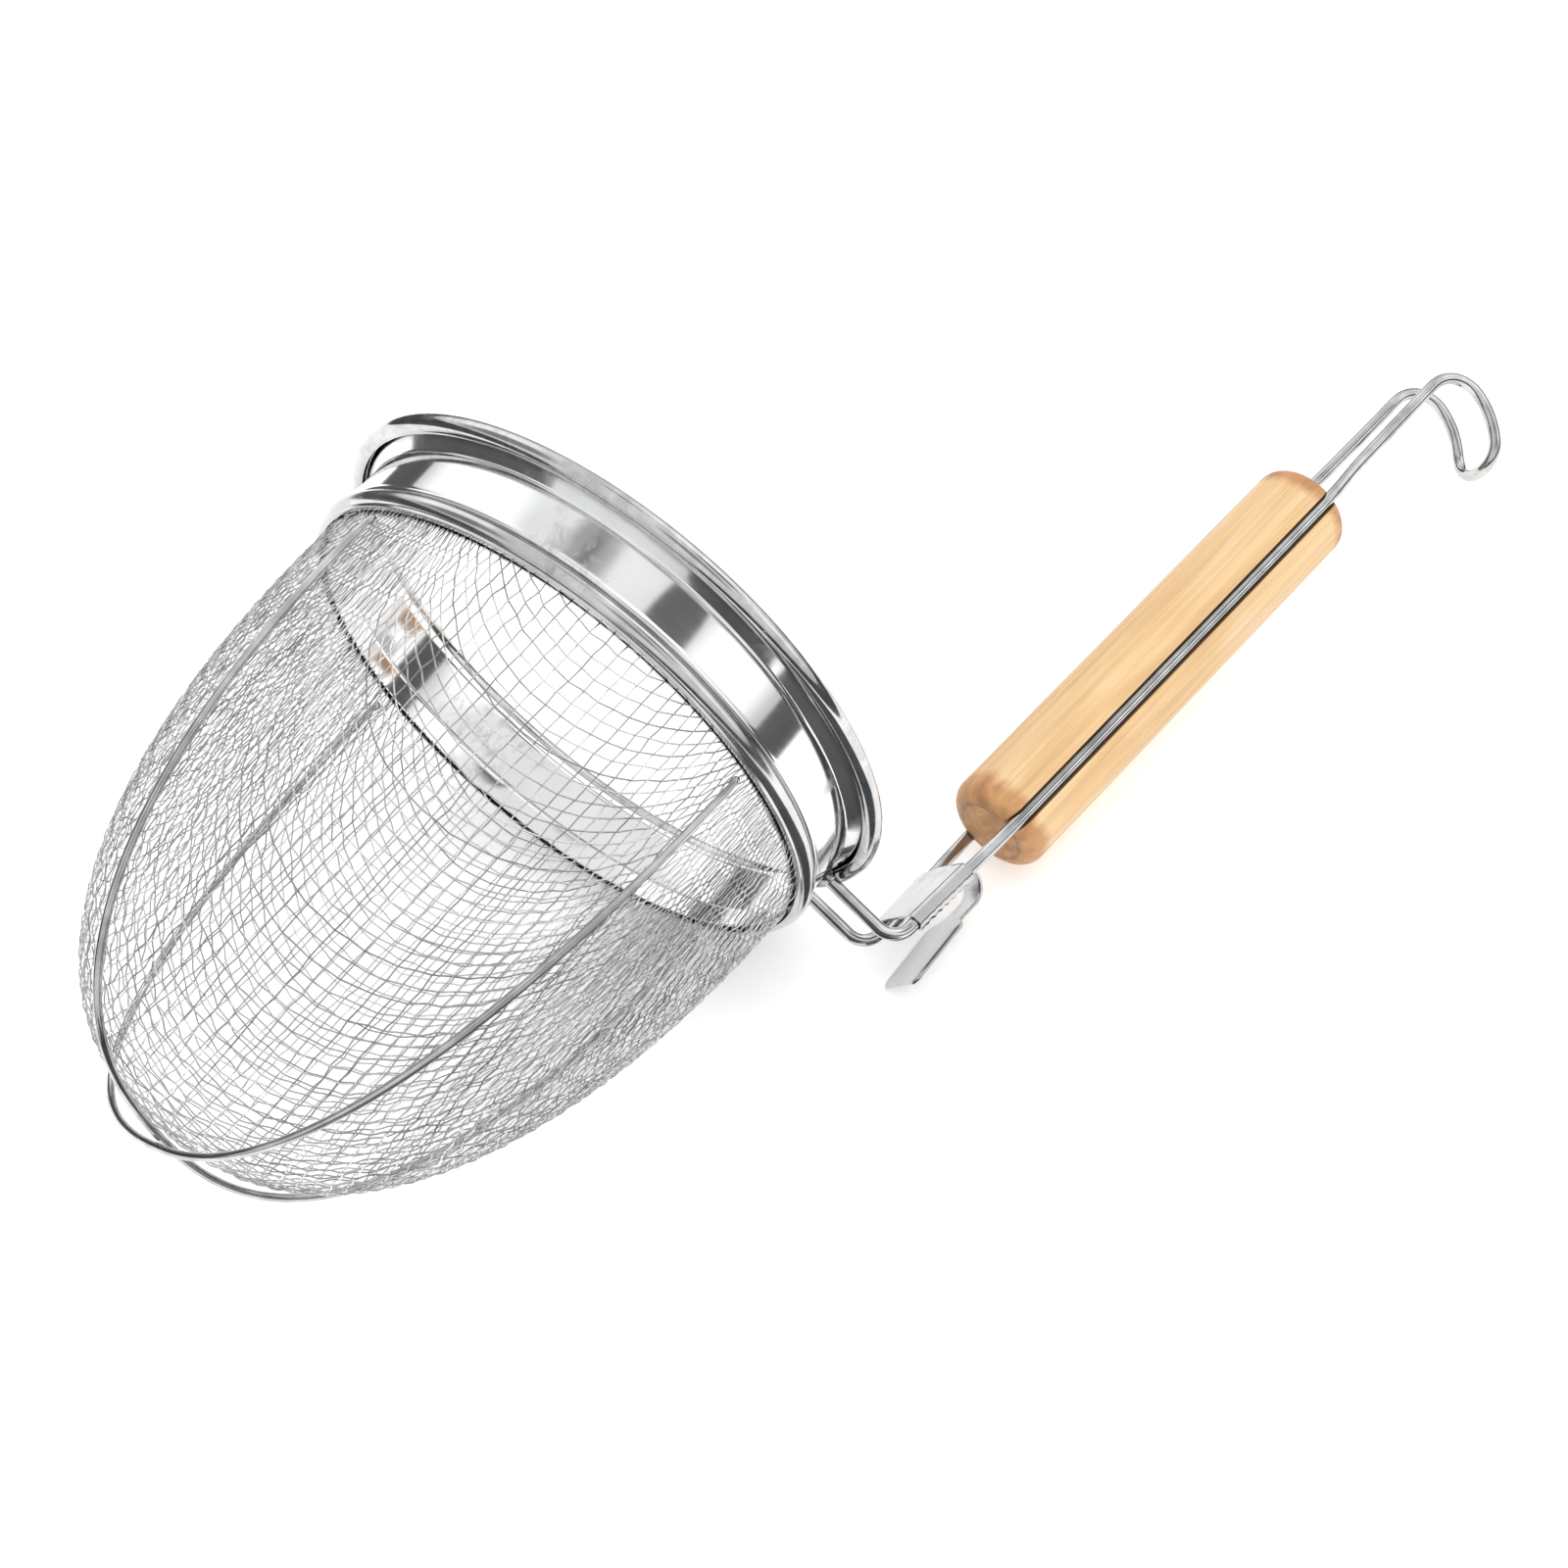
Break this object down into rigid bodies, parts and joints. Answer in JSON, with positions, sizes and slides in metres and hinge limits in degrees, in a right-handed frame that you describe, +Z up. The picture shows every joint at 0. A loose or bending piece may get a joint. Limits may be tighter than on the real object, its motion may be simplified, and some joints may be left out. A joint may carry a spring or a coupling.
{
  "type": "mesh strainer",
  "caption": "Deep round wire-mesh strainer with a flanged steel rim, crossed support wires, a bent-wire handle with a wooden grip, a pot-rest clip and a hanging hook.",
  "frame": {"origin": "middle of the part's box, on the surface it lies on", "axes": "+X along the handle, towards its hook; +Z up from the surface that the strainer lies on; +Y completes the set"},
  "size_m": [0.3892, 0.1884, 0.1474],
  "materials": {
    "polished_steel": "polished stainless sheet",
    "wire_steel": "drawn stainless wire",
    "mesh_steel": "woven fine stainless wire",
    "clip_steel": "satin stainless sheet",
    "maple": "light sanded hardwood, unvarnished"
  },
  "bodies": {
    "root": {"rim_band": "polished_steel", "rim_core_wire": "wire_steel", "mesh_clamp_ring": "polished_steel", "mesh_basket": "mesh_steel", "support_wire_inner": "wire_steel", "support_wire_outer": "wire_steel", "handle_wire": "wire_steel", "wooden_grip": "maple", "handle_clip": "clip_steel"}
  },
  "joints": []
}
